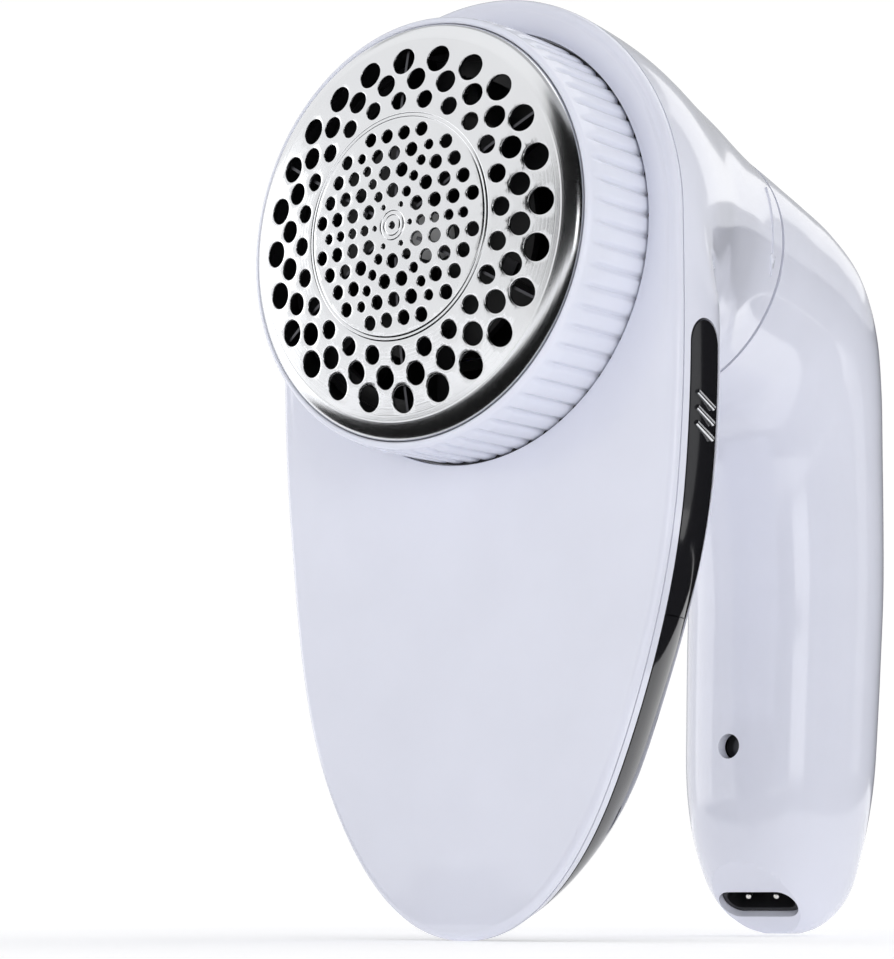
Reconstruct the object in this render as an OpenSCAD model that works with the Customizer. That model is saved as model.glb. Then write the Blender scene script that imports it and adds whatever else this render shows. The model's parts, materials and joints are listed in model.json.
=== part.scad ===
// Fabric shaver with a swivel handle.
// Units are millimetres. X is sideways, the cutting foil faces -Y, Z is up.
// The shaver stands on the tip of its front panel and on the end of its handle.

/* [Head] */
// Height of the centre of the cutting foil above the ground
foil_height = 97.4; // [90:0.1:110]
// Radius of the outermost row of foil holes
row_radius = 24; // [20:0.1:28]
// How far the middle of the foil stands proud of the outermost row
foil_dome = 2.43; // [1:0.01:4]
// Radius of the foil plate over its rolled edge
foil_radius = 29.4; // [26:0.1:32]
// Thickness of the foil
foil_wall = 0.4; // [0.3:0.05:0.8]
// Outer radius of the ribbed collar
collar_radius = 30.9; // [30:0.1:34]
// Number of scallops round the collar
collar_ribs = 66; // [24:6:90]
// Distance from the outermost hole row back to the front panel
face_depth = 14.4; // [10:0.1:18]
// Thickness of the front panel
panel_wall = 2.8; // [2:0.1:4]

/* [Body] */
// Half width of the body
body_half = 36.1; // [34:0.1:40]
// Height at which the tongue starts to narrow
tongue_top = 88; // [80:1:96]
// Depth of the body behind the hole row
body_back = 30; // [27:0.5:36]
// Wall thickness of the housings
wall = 1.9; // [1.5:0.1:3]
// Height of the lower edge of the rear housing
rear_edge = 43; // [40:1:60]

/* [Handle] */
// Distance from the hole row back to the swivel seam
seam_depth = 63.5; // [58:0.5:70]
// Height of the middle of the swivel seam
seam_height = 102.5; // [98:0.5:108]
// Downward tilt of the swivel axis in degrees
seam_tilt = 10; // [0:1:20]
// Radius of the neck at the swivel seam
seam_radius = 20.6; // [18:0.1:24]
// Length of the handle neck from the seam to the middle of the elbow
elbow_reach = 31; // [28:0.5:36]
// Radius of the elbow
elbow_radius = 17.2; // [15:0.1:20]

/* [Drive] */
// Radius of the motor can
motor_radius = 12; // [10:0.1:14]
// Length of the motor can
motor_length = 25; // [18:0.5:30]
// Radius of the motor shaft
shaft_radius = 1; // [0.75:0.05:1.5]
// Radius of the blade disc
disc_radius = 26.4; // [24:0.1:27]

/* [Hidden] */
$fn = 64;
gap = 0.3;
// Everything is shifted so that the middle of the overall depth is at Y = 0.
elbow_y = seam_depth + elbow_reach * cos(seam_tilt);
elbow_z = seam_height - elbow_reach * sin(seam_tilt);
button_top = 96.2 + 15.8 + 0.8;
shift_y = (button_top - foil_dome) / 2;
dome_radius = (row_radius * row_radius + foil_dome * foil_dome) / (2 * foil_dome);
panel_back = face_depth + panel_wall;
seam_y = panel_back + 0.05;
strip_low = panel_back + 0.3;
strip_high = strip_low + 7;
strip_top = 79.5;
strip_r = (strip_high - strip_low) / 2;
strip_mid = (strip_high + strip_low) / 2;
cup_inner = 27.2;
cup_outer = 28.4;
cup_floor = 15.4;
motor_front = cup_floor + 1.8;
disc_y = 7.2;
disc_wall = 1.2;
WHITE = [0.88, 0.88, 0.93];
SMOKE = [0.2, 0.2, 0.22];
BLACK = [0.08, 0.08, 0.09];
STEEL = [0.75, 0.76, 0.78];
BRASS = [0.78, 0.63, 0.32];

// --- placing helpers -------------------------------------------------------
module place() {
    translate([0, -shift_y, 0]) children();
}

// Local Z points out of the foil, local Y is up.
module head() {
    place() translate([0, 0, foil_height]) rotate([90, 0, 0]) children();
}

// Local Z runs back along the swivel axis from the seam, local Y points down.
module swivel() {
    place() translate([0, seam_depth, seam_height]) rotate([-90 - seam_tilt, 0, 0]) children();
}

// The grip has a slight bend: the knee is where its upper and lower lengths meet.
knee_y = 96.2;
knee_z = 55;
knee_radius = 15.8;
foot_lean = atan2(knee_y - 92.9, knee_z - 13);
upper_lean = atan2(knee_y - elbow_y, elbow_z - knee_z);
upper_length = sqrt(pow(knee_y - elbow_y, 2) + pow(elbow_z - knee_z, 2));

// Local Z runs down the lower grip from the knee, local Y is back.
module grip() {
    place() translate([0, knee_y, knee_z]) rotate([-foot_lean, 0, 0]) mirror([0, 0, 1])
        children();
}

// Local Z runs up the upper grip from the knee to the elbow.
module grip_up() {
    place() translate([0, knee_y, knee_z]) rotate([upper_lean, 0, 0]) children();
}

// --- outline of the body seen from the front -------------------------------
function tongue_half(z) = z >= tongue_top ? body_half
    : body_half * pow(max(0, 1 - pow((tongue_top - z) / tongue_top, 2.15)), 1 / 2.15);

arc_n = 32;
side_n = 26;
// Heights down the tongue, closer together towards the tip.
function side_z(k) = tongue_top * (1 - sin(90 * k / side_n));

function body_outline(inset) = concat(
    [for (k = [0 : arc_n]) let (a = 180 * k / arc_n)
        [(body_half - inset) * cos(a), foil_height + (body_half - inset) * sin(a)]],
    [for (k = [0 : side_n - 1]) let (z = side_z(k), h = tongue_half(z) - inset)
        [-max(h, 0.1), z + inset * sin(90 * k / side_n)]],
    [[0, inset]],
    [for (k = [side_n - 1 : -1 : 0]) let (z = side_z(k), h = tongue_half(z) - inset)
        [max(h, 0.1), z + inset * sin(90 * k / side_n)]]);

// A slab of the outline between two depths.
module outline_slab(inset, y0, y1) {
    place() translate([0, y1, 0]) rotate([90, 0, 0]) linear_extrude(height = y1 - y0)
        polygon(body_outline(inset));
}

// --- cross sections of the body behind the panel ---------------------------
function back_at(z) = z > 24 ? body_back
    : panel_back + 1.2 + (body_back - panel_back - 1.2) * pow(sin(90 * z / 24), 0.75);
function corner_at(z, inset) = max(0.6, min(12, (back_at(z) - panel_back) * 0.62) - inset);

// One horizontal section: up the right side, round the back and down the left side.
function section(z, inset, front) = let (w = max(0.5, tongue_half(z) - inset),
    b = back_at(z) - inset, r = min(corner_at(z, inset), w - 0.2))
    concat([[w, z, front]],
    [for (k = [0 : 8]) let (a = 90 * k / 8) [w - r + r * cos(a), z, b - r + r * sin(a)]],
    [for (k = [8 : -1 : 0]) let (a = 90 * k / 8) [-(w - r + r * cos(a)), z, b - r + r * sin(a)]],
    [[-w, z, front]]);

// Solid body between two heights, its front face at a given depth.
module body_loft(inset, zlow, zhigh, front, steps) {
    n = 20;
    rows = [for (k = [0 : steps]) let (z = zlow + (zhigh - zlow) * pow(k / steps, 1.35))
        section(z, inset, front)];
    points = [for (row = rows) for (p = row) [p[0], p[2], p[1]]];
    sides = [for (k = [0 : steps - 1]) for (j = [0 : n - 1])
        let (a = k * n + j, b = k * n + (j + 1) % n) [a, a + n, b + n, b]];
    tris = [for (f = sides) for (t = [[f[0], f[1], f[2]], [f[0], f[2], f[3]]]) t];
    bottom = [[for (j = [0 : n - 1]) j]];
    top = [[for (j = [n - 1 : -1 : 0]) steps * n + j]];
    place() polyhedron(points = points, faces = concat(tris, bottom, top), convexity = 6);
}

// --- neck of the rear housing ----------------------------------------------
// Each row: depth, height of the centre, radius, tilt in degrees.
NECK = [[seam_y, foil_height, body_half, 0], [24, 97.7, 35.6, 0], [32, 99.0, 33.2, 1],
    [39, 101.0, 30.0, 3], [45, 102.7, 26.9, 5], [50, 103.5, 24.2, 7],
    [54.5, 103.6, 22.2, 8], [59, 103.2, 21.0, 9.5], [seam_depth, seam_height, seam_radius, 10]];

module neck_loft(inset, rows) {
    n = 56;
    m = len(rows);
    points = [for (r = rows) for (j = [0 : n - 1]) let (a = 360 * j / n, q = r[2] - inset)
        [q * cos(a), r[0] + q * sin(a) * sin(r[3]), r[1] + q * sin(a) * cos(r[3])]];
    tris = [for (k = [0 : m - 2]) for (j = [0 : n - 1])
        let (a = k * n + j, b = k * n + (j + 1) % n)
        for (t = [[a, b, b + n], [a, b + n, a + n]]) t];
    first = [[for (j = [n - 1 : -1 : 0]) j]];
    last = [[for (j = [0 : n - 1]) (m - 1) * n + j]];
    place() polyhedron(points = points, faces = concat(tris, first, last), convexity = 6);
}

// A pill-shaped bar through the whole width: the side window round the lint bin.
module side_window(grow, zlow) {
    place() translate([-60, strip_mid, strip_top]) rotate([0, 90, 0])
        cylinder(r = strip_r + grow, h = 120);
    place() translate([-60, strip_low - grow, zlow])
        cube([120, 2 * (strip_r + grow), strip_top - zlow]);
}

// --- housings --------------------------------------------------------------
module front_shell() {
    color(WHITE) difference() {
        hull() {
            outline_slab(2.4, face_depth, face_depth + 0.2);
            outline_slab(0.8, face_depth + 0.7, face_depth + 0.9);
            outline_slab(0, face_depth + 2.0, panel_back);
        }
        head() translate([0, 0, -face_depth - 1.8]) cylinder(r = collar_radius + gap, h = 10);
        head() translate([0, 0, -face_depth - 5]) cylinder(r = 29.95, h = 10);
        // Clearance notch for the plunger of the safety switch.
        head() translate([0, 29.3, -panel_back - 1]) cylinder(r = 1.5, h = 3);
    }
}

module rear_shell() {
    color(WHITE) difference() {
        union() {
            difference() {
                union() {
                    neck_loft(0, NECK);
                    body_loft(0, rear_edge, foil_height - 0.4, seam_y, 12);
                }
                neck_loft(wall, [[seam_y - 1, foil_height, body_half, 0], NECK[1], NECK[2],
                    NECK[3], NECK[4], NECK[5], NECK[6], [59, 103.2, 21.0, 9.5],
                    [seam_depth - 3.0, 103.0, 20.9, 10]]);
                body_loft(wall, rear_edge - 2, foil_height - 3, seam_y - 1, 12);
            }
            // Posts that take the three screws of the cutter cup.
            for (a = [90, 195, 345]) head() rotate([0, 0, a]) translate([22, 0, 0])
                translate([0, 0, a == 90 ? -65 : -45])
                    cylinder(r = 2.6, h = (a == 90 ? 65 : 45) - cup_floor - 1.7);
        }
        for (a = [90, 195, 345]) head() rotate([0, 0, a])
            translate([22, 0, -cup_floor - 12]) cylinder(r = 0.9, h = 11);
        side_window(0.3, -1);
        swivel() translate([0, 0, -6]) cylinder(r = 6.05, h = 12);
        // Half-circle groove that the stop lug of the handle runs in.
        swivel() translate([0, 0, -1.7]) rotate([0, 0, -6.4])
            rotate_extrude(angle = 192.8) translate([12.9, 0]) square([3.2, 3]);
    }
}

module cutter_cup() {
    color(BLACK) difference() {
        head() union() {
            difference() {
                translate([0, 0, -cup_floor - 0.75]) cylinder(r = 31.0, h = 0.75);
                translate([0, 0, -cup_floor - 2]) cylinder(r = cup_inner, h = 3);
            }
            translate([0, 0, -cup_floor - 1.65]) cylinder(r = 29.7, h = 1.65);
            difference() {
                translate([0, 0, -cup_floor]) cylinder(r = cup_outer - 0.8, h = cup_floor - 2.6);
                translate([0, 0, -cup_floor]) cylinder(r = cup_inner - 0.3, h = cup_floor);
            }
        }
        head() translate([0, 0, -20]) cylinder(r = 3.1, h = 10);
        for (x = [-8, 8]) head() translate([x, 0, -20]) cylinder(r = 1.1, h = 10);
        for (a = [90, 195, 345]) head() rotate([0, 0, a]) translate([22, 0, -20])
            cylinder(r = 1.1, h = 10);
        head() translate([0, 29.3, -20]) cylinder(r = 1.06, h = 10);
        // Window through which the lint falls into the bin.
        head() translate([0, 0, -20]) rotate([0, 0, 225]) rotate_extrude(angle = 90)
            translate([15.5, 0]) square([9.5, 10]);
    }
}

module cup_screws() {
    color(STEEL) for (a = [90, 195, 345]) head() rotate([0, 0, a]) translate([22, 0, 0])
        difference() {
            union() {
                translate([0, 0, -cup_floor - 9]) cylinder(r = 0.87, h = 9.2);
                translate([0, 0, -cup_floor + 0.02]) cylinder(r = 1.9, h = 1.2);
            }
            translate([0, 0, -cup_floor + 0.7]) cylinder(r = 0.9, h = 1, $fn = 6);
        }
}

// --- lint bin ---------------------------------------------------------------
bin_low = 1.6;
bin_high = 81.5;

// Straight drawer: the cross section at the lower edge of the rear housing.
module drawer(inset, zlow, zhigh, front) {
    place() translate([0, 0, zlow]) linear_extrude(height = zhigh - zlow)
        polygon([for (p = section(rear_edge, inset, front)) [p[0], p[2]]]);
}

module lint_bin() {
    color(SMOKE) difference() {
        union() {
            body_loft(0, bin_low, rear_edge - 0.3, strip_low, 14);
            drawer(wall + 0.4, rear_edge - 4, bin_high, strip_low);
        }
        body_loft(1.8, bin_low + 4.5, rear_edge - 2, strip_low + 1.5, 8);
        drawer(wall + 1.9, rear_edge - 5, bin_high - 1.6, strip_low + 1.5);
        // Mouth that faces the window of the cutter cup.
        place() translate([-13, strip_low - 1, foil_height - 24]) cube([26, 4, 6.8]);
    }
}

// Smoked inlays that carry the line of the bin up both sides of the housing.
module side_trims() {
    color(SMOKE) difference() {
        intersection() {
            body_loft(0, rear_edge - 0.2, 86, strip_low, 6);
            side_window(-0.02, rear_edge);
        }
        body_loft(1.8, rear_edge - 2, 90, strip_low - 3, 6);
        bars(0.42, 4.28);
    }
}

// Slanted bars along the surface of both side inlays.
module bars(r, h) {
    for (s = [-1, 1]) for (k = [0 : 2]) let (z = 72.1 - 2.1 * k)
        place() translate([s * (tongue_half(z) + 0.05), strip_mid - 0.1, z])
            rotate([-116, 0, 0]) translate([0, 0, -h / 2]) cylinder(r = r, h = h);
}

module bin_bars() {
    color(STEEL) bars(0.38, 4.2);
}

// Soft frame between the cutter cup and the mouth of the bin.
module bin_seal() {
    color(BLACK) place() difference() {
        translate([-15, cup_floor + 1.7, foil_height - 25.5]) cube([30, 0.35, 9.8]);
        translate([-13, cup_floor + 1, foil_height - 24]) cube([26, 2, 6.8]);
    }
}

// --- cutting head -------------------------------------------------------------
module collar() {
    color(WHITE) head() intersection() {
        difference() {
            translate([0, 0, -face_depth + 0.3]) linear_extrude(height = face_depth - 2.4)
                difference() {
                    circle(r = collar_radius, $fn = 96);
                    for (k = [0 : collar_ribs - 1]) rotate(360 * k / collar_ribs)
                        translate([collar_radius + 0.62, 0]) circle(r = 0.95, $fn = 24);
                }
            translate([0, 0, -face_depth]) cylinder(r = 27.75, h = face_depth);
            translate([0, 0, -8.3]) cylinder(r = foil_radius + 0.08, h = 12);
        }
        // Rounds the front edge of the ribs.
        rotate_extrude() polygon([[0, -20], [collar_radius, -20], [collar_radius, -4.2],
            [collar_radius - 0.25, -3.0], [collar_radius - 0.8, -2.2], [0, -2.2]]);
    }
}

module foil_holes() {
    for (k = [0 : 23]) rotate(15 * k) {
        translate([row_radius, 0]) circle(r = 1.86, $fn = 24);
        rotate(7.5) translate([row_radius * 0.876, 0]) circle(r = 1.55, $fn = 24);
        translate([row_radius * 0.752, 0]) circle(r = 1.27, $fn = 24);
    }
    circle(r = 0.5, $fn = 16);
    // Six rays of small holes, and between them six triangles of larger ones.
    for (k = [0 : 5]) rotate(60 * k) {
        translate([3.17, 0]) circle(r = 0.35, $fn = 12);
        for (n = [0 : 3]) translate([5.1 + 2.37 * n, 0]) circle(r = 0.7, $fn = 16);
        rotate(30) for (n = [0 : 3]) for (j = [0 : n])
            translate([5 + 2.69 * n, 3.09 * (j - n / 2)]) circle(r = 0.98, $fn = 20);
    }
}

module foil_guard() {
    crown = foil_dome - dome_radius;
    rim = foil_radius - 0.8;
    rim_z = sqrt(pow(dome_radius, 2) - pow(rim, 2)) + crown;
    color(STEEL) head() {
        difference() {
            intersection() {
                translate([0, 0, crown]) sphere(r = dome_radius, $fn = 96);
                translate([0, 0, -4]) cylinder(r = rim, h = 12, $fn = 96);
            }
            translate([0, 0, crown]) sphere(r = dome_radius - foil_wall, $fn = 96);
            translate([0, 0, -3]) linear_extrude(height = 8) foil_holes();
        }
        // Rolled edge and skirt.
        rotate_extrude($fn = 96) union() {
            intersection() {
                translate([rim, rim_z - 0.8]) difference() {
                    circle(r = 0.8, $fn = 32);
                    circle(r = 0.8 - foil_wall, $fn = 32);
                }
                translate([rim, rim_z - 0.8]) square([2, 2]);
            }
            translate([foil_radius - foil_wall, -8.2]) square([foil_wall, rim_z + 7.4]);
        }
    }
}

// Ring that holds the foil inside the collar.
module guard_ring() {
    color(BLACK) head() difference() {
        translate([0, 0, -8.2]) cylinder(r = foil_radius - foil_wall - 0.05, h = 4.2);
        translate([0, 0, -9]) cylinder(r = 27.8, h = 6);
    }
}

module blade_disc() {
    color(BLACK) head() difference() {
        union() {
            translate([0, 0, -disc_y - disc_wall]) cylinder(r = disc_radius, h = disc_wall);
            difference() {
                translate([0, 0, -disc_y]) cylinder(r = disc_radius, h = 0.6);
                translate([0, 0, -disc_y - 1]) cylinder(r = disc_radius - 0.9, h = 2);
            }
        }
        for (k = [0 : 5]) rotate([0, 0, 60 * k + 39]) translate([0, 0, -disc_y - 3])
            rotate_extrude(angle = 40) translate([17.6, 0]) square([5.6, 5]);
        translate([0, 0, -disc_y - 3]) cylinder(r = 3.3, h = 5);
        // Small slots that the folded feet of the blades clip through.
        for (k = [0 : 5]) rotate([0, 0, 60 * k + 30]) for (r = [8.4, 14.6])
            translate([r - 1.3, 0.45, -disc_y - 3]) cube([2.6, 1.3, 5]);
    }
}

module leaf_blades() {
    crown = foil_dome - dome_radius;
    color(STEEL) head() for (k = [0 : 5]) rotate([0, 0, 60 * k + 30]) {
        intersection() {
            translate([4.4, -0.2, -disc_y + 0.02]) cube([21.2, 0.4, 12]);
            translate([0, 0, crown]) sphere(r = dome_radius - foil_wall - 0.3, $fn = 96);
        }
        for (r = [8.4, 14.6]) translate([r - 1.1, 0.2, -disc_y + 0.02]) cube([2.2, 2.2, 0.35]);
    }
}

module blade_hub() {
    color(WHITE) head() difference() {
        union() {
            translate([0, 0, -disc_y - disc_wall - 1.2]) cylinder(r = 5, h = 1.18);
            translate([0, 0, -13.2]) cylinder(r = 3.28, h = 7.6);
        }
        translate([0, 0, -14]) cylinder(r = shaft_radius + 0.04, h = 7.4);
    }
}

// Helix drawn as a closed tube.
module blade_spring() {
    turns = 4;
    steps = 18 * turns;
    m = 6;
    wire = 0.25;
    low = -14.3;
    high = -9.95;
    points = [for (k = [0 : steps]) for (j = [0 : m - 1])
        let (a = 360 * turns * k / steps, b = 360 * j / m, r = 4.2 + wire * cos(b))
        [r * cos(a), r * sin(a), low + (high - low) * k / steps + wire * sin(b)]];
    tris = [for (k = [0 : steps - 1]) for (j = [0 : m - 1])
        let (a = k * m + j, b = k * m + (j + 1) % m)
        for (t = [[a, a + m, b + m], [a, b + m, b]]) t];
    ends = [[for (j = [0 : m - 1]) j], [for (j = [m - 1 : -1 : 0]) steps * m + j]];
    color(STEEL) head() polyhedron(points = points, faces = concat(tris, ends), convexity = 8);
}

// --- motor ---------------------------------------------------------------------
module motor_can() {
    color(STEEL) head() difference() {
        union() {
            translate([0, 0, -motor_front - motor_length]) cylinder(r = motor_radius, h = motor_length);
            translate([0, 0, -motor_front]) cylinder(r = 3, h = 1.6);
        }
        translate([0, 0, -motor_front - motor_length - 1])
            cylinder(r = motor_radius - 2.2, h = motor_length);
        translate([0, 0, -motor_front - 10]) cylinder(r = shaft_radius + 0.05, h = 20);
        for (x = [-8, 8]) translate([x, 0, -motor_front - 3]) cylinder(r = 0.85, h = 4);
    }
}

module motor_cap() {
    color(BLACK) head() difference() {
        union() {
            translate([0, 0, -motor_front - motor_length - 2.2]) cylinder(r = motor_radius, h = 2.15);
            translate([0, 0, -motor_front - motor_length - 0.1])
                cylinder(r = motor_radius - 2.3, h = 2.6);
            translate([0, 0, -motor_front - motor_length - 3.6]) cylinder(r = 3, h = 1.5);
        }
        translate([0, 0, -motor_front - motor_length - 4.6]) cylinder(r = shaft_radius + 0.05, h = 9);
        for (x = [-6, 6]) translate([x - 0.4, -1.1, -motor_front - motor_length - 5])
            cube([0.8, 2.2, 9]);
    }
}

module motor_shaft() {
    color(STEEL) head() {
        translate([0, 0, -motor_front - motor_length - 3.9]) cylinder(r = shaft_radius,
            h = motor_length + motor_front - 3.9);
        translate([0, 0, -15.0]) cylinder(r = 4.6, h = 0.4);
    }
}

module motor_rotor() {
    color(BRASS) head() difference() {
        translate([0, 0, -motor_front - 19]) cylinder(r = 9.2, h = 15);
        translate([0, 0, -motor_front - 20]) cylinder(r = shaft_radius + 0.01, h = 18);
        for (k = [0 : 2]) rotate([0, 0, 120 * k + 30])
            translate([6, -0.8, -motor_front - 20]) cube([5, 1.6, 18]);
    }
}

module motor_tabs() {
    color(BRASS) head() for (x = [-6, 6])
        translate([x - 0.25, -1, -motor_front - motor_length - 5.4]) cube([0.5, 2, 6]);
}

module motor_screws() {
    color(STEEL) head() for (x = [-8, 8]) translate([x, 0, 0]) difference() {
        union() {
            translate([0, 0, -motor_front - 2.1]) cylinder(r = 0.82, h = 4);
            translate([0, 0, -cup_floor + 0.02]) cylinder(r = 1.7, h = 1.0);
        }
        translate([0, 0, -cup_floor + 0.6]) cylinder(r = 0.8, h = 1, $fn = 6);
    }
}

// --- safety switch ---------------------------------------------------------------
module safety_switch() {
    color(BLACK) head() difference() {
        translate([-4, 27.0, -25.2]) cube([8, 4.6, 6]);
        translate([0, 29.3, -21.6]) cylinder(r = 1.06, h = 5);
    }
}

module safety_pin() {
    color(WHITE) head() translate([0, 29.3, -20.8]) cylinder(r = 1, h = 20.8 - face_depth + 0.2);
}

// --- swivel ------------------------------------------------------------------------
module swivel_axle() {
    color(STEEL) swivel() difference() {
        union() {
            translate([0, 0, -6.6]) cylinder(r = 6, h = 12.2);
            translate([0, 0, 3.42]) cylinder(r = 9, h = 1.6);
        }
        translate([0, 0, -8]) cylinder(r = 3.6, h = 18);
        translate([0, 0, -5.3]) difference() {
            cylinder(r = 7, h = 0.9);
            translate([0, 0, -1]) cylinder(r = 5.3, h = 3);
        }
    }
}

// Two friction washers.
module swivel_washer() {
    color(BRASS) swivel() for (z = [-3.62, -4.36]) difference() {
        translate([0, 0, z]) cylinder(r = 8.6, h = z < -4 ? 0.64 : 0.5);
        translate([0, 0, z - 1]) cylinder(r = 6.08, h = 3);
    }
}

module swivel_clip() {
    color(BLACK) swivel() difference() {
        translate([0, 0, -5.2]) cylinder(r = 8, h = 0.7);
        translate([0, 0, -7]) cylinder(r = 5.4, h = 4);
        translate([-2.2, 0, -7]) cube([4.4, 12, 4]);
    }
}

// --- handle -------------------------------------------------------------------------
FOOT = [[0, 15.8], [8, 15.75], [16, 15.6], [24, 15.35], [31, 14.95], [37, 14.35], [42, 13.4],
    [46, 12.1], [49, 10.6], [51.4, 9.0], [53.4, 7.2], [55, 5.2], [56.2, 3.0], [56.8, 0.9]];

module handle_solid(inset, start, foot) {
    swivel() translate([0, 0, start]) cylinder(r1 = seam_radius - inset, r2 = elbow_radius - inset,
        h = elbow_reach - start);
    place() translate([0, elbow_y, elbow_z]) sphere(r = elbow_radius + 0.15 - inset);
    grip_up() cylinder(r1 = knee_radius - inset, r2 = elbow_radius - inset, h = upper_length);
    place() translate([0, knee_y, knee_z]) sphere(r = knee_radius + 0.1 - inset);
    grip() rotate_extrude() polygon(concat([[0, 0]],
        [for (p = FOOT) if (p[0] < foot) [p[1] - inset, p[0]]],
        [[0, [for (p = FOOT) if (p[0] < foot) p[0]][len([for (p = FOOT) if (p[0] < foot) p]) - 1]]]));
}

// Local Z points out of the charging port, forwards and down.
module port() {
    place() translate([0, 86.6, 4.9]) rotate([135, 0, 0]) children();
}

module port_slot(width, height, deep, out) {
    port() for (x = [-1, 1]) translate([x * (width - height) / 2, 0, -deep])
        cylinder(r = height / 2, h = deep + out);
    port() translate([-(width - height) / 2, -height / 2, -deep])
        cube([width - height, height, deep + out]);
}

cover_low = 30;
cover_high = 84;
cover_y = 107;
button_z = 66;
lens_z = 29.4;

module handle_shell() {
    color(WHITE) difference() {
        union() {
            difference() {
                handle_solid(0, gap, 99);
                handle_solid(wall, gap + 3.1, 39);
            }
            // Two bosses for the screws of the cover.
            for (z = [cover_low + 3.4, cover_high - 3.4]) place()
                translate([0, cover_y - 0.3, z]) rotate([90, 0, 0]) cylinder(r = 2.3, h = 2.6);
            for (z = [cover_low + 3.4, cover_high - 3.4]) place()
                translate([z < 50 ? -9.9 : -12.2, cover_y - 2.9, z - 1.1])
                    cube([z < 50 ? 19.8 : 24.4, 2, 2.2]);
            swivel() translate([14.5, 0, -1.2]) cylinder(r = 1.2, h = 3);
        }
        // Window for the rear cover.
        place() translate([-30, cover_y, cover_low]) cube([60, 20, cover_high - cover_low]);
        // Flat that carries the charging port, and the flat foot.
        port() translate([-30, -30, 0]) cube([60, 60, 30]);
        place() translate([-40, 60, -20]) cube([80, 80, 20]);
        port_slot(14.2, 5.4, 7, 2);
        port() translate([0, 0, -22]) cylinder(r = 1.4, h = 18);
        place() translate([0, 70, lens_z]) rotate([-90, 0, 0]) cylinder(r = 1.95, h = 16);
        swivel() translate([0, 0, -3]) cylinder(r = 6.02, h = 9);
        for (z = [cover_low + 3.4, cover_high - 3.4]) place()
            translate([0, cover_y + 1, z]) rotate([90, 0, 0]) cylinder(r = 0.8, h = 5);
    }
}

module handle_cover() {
    color(WHITE) difference() {
        union() {
            intersection() {
                difference() {
                    handle_solid(0, gap, 99);
                    handle_solid(wall, gap + 3.1, 39);
                }
                place() translate([-30, cover_y + 0.12, cover_low + 0.12])
                    cube([60, 20, cover_high - cover_low - 0.24]);
            }
            for (z = [cover_low + 3.4, cover_high - 3.4]) place()
                translate([0, cover_y - 0.2, z]) rotate([-90, 0, 0])
                    cylinder(r = 2.3, h = z < 50 ? 2.2 : 3.2);
        }
        place() translate([0, cover_y - 3, button_z]) rotate([-90, 0, 0])
            cylinder(r = 5.3, h = 12);
        for (z = [cover_low + 3.4, cover_high - 3.4]) place()
            translate([0, cover_y - 2, z]) rotate([-90, 0, 0]) {
                cylinder(r = 1.1, h = 12);
                translate([0, 0, 2.9]) cylinder(r = 1.95, h = 12);
            }
    }
}

module cover_screws() {
    color(STEEL) for (z = [cover_low + 3.4, cover_high - 3.4]) place()
        translate([0, cover_y - 3, z]) rotate([-90, 0, 0]) difference() {
            union() {
                cylinder(r = 0.78, h = 4);
                translate([0, 0, 3.95]) cylinder(r = 1.8, h = 1.2);
            }
            translate([0, 0, 4.6]) cylinder(r = 0.9, h = 2, $fn = 6);
        }
}

// Round push button with a flange that keeps it behind the cover.
module power_button() {
    color(STEEL) place() translate([0, 0, button_z]) rotate([-90, 0, 0]) union() {
        translate([0, 0, cover_y + 0.6]) cylinder(r = 5, h = button_top - cover_y - 0.6);
        translate([0, 0, cover_y + 0.1]) cylinder(r = 6.2, h = 1.2);
    }
}

// --- electronics ---------------------------------------------------------------------
cell_y = 94.6;
cell_z = 19.8;
cell_radius = 9.1;
cell_length = 65;

module battery_cell() {
    color([0.25, 0.45, 0.62]) place() translate([0, cell_y, cell_z]) union() {
        cylinder(r = cell_radius, h = cell_length - 1);
        cylinder(r = 3, h = cell_length);
    }
}

module battery_cradle() {
    color(BLACK) place() difference() {
        union() {
            difference() {
                translate([0, cell_y, cell_z - 1.1])
                    cylinder(r = cell_radius + 1.2, h = cell_length + 2.4);
                translate([-20, cell_y + 3, cell_z - 3]) cube([40, 20, 100]);
            }
            // Rails that hold the circuit board.
            for (s = [-1, 1]) translate([s * 8.9 - 0.7, cell_y + 1, 49])
                cube([1.4, 9.5, 23]);
        }
        translate([0, cell_y, cell_z - 0.4]) cylinder(r = cell_radius + 0.05, h = cell_length + 0.8);
        translate([-8.7, cell_y + 9.2, 39]) cube([17.4, 1.2, 50]);
    }
}

module battery_tabs() {
    color(STEEL) place() for (z = [cell_z - 0.35, cell_z + cell_length + 0.05])
        translate([-3, cell_y - 2, z]) cube([6, 4.8, 0.3]);
}

module circuit_board() {
    color([0.1, 0.35, 0.2]) place() translate([-8.6, cell_y + 9.3, 41])
        cube([17.2, 1, 34]);
}

// Components on the back of the board.
module board_parts() {
    color(BLACK) place() translate([0, cell_y + 10.3, 0]) {
        translate([-3, 0, button_z - 3]) cube([6, 1.4, 6]);
        translate([-5.5, 0, 46]) cube([5, 1.2, 4.4]);
        translate([1, 0, 45]) cube([4, 1.6, 7]);
        translate([-5, 0, 54]) cube([3, 1.0, 2]);
        translate([2, 0, 55]) cube([3, 1.0, 2]);
        translate([0, 0, 59.2]) rotate([-90, 0, 0]) cylinder(r = 2, h = 1.5);
    }
}

module status_lens() {
    color([0.75, 0.78, 0.85]) place() translate([0, 0, lens_z]) rotate([-90, 0, 0]) union() {
        translate([0, 0, 79.8]) cylinder(r = 1.9, h = 3);
        translate([0, 0, 81.3]) cylinder(r = 2.8, h = 1.5);
    }
}

module socket_body() {
    color(BLACK) difference() {
        port_slot(14, 5.2, 6.9, -1.2);
        port_slot(12.4, 3.8, 5.4, 2);
        for (x = [-2.6, 2.6]) port() translate([x, 0, -9]) cylinder(r = 0.95, h = 9);
    }
}

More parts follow.
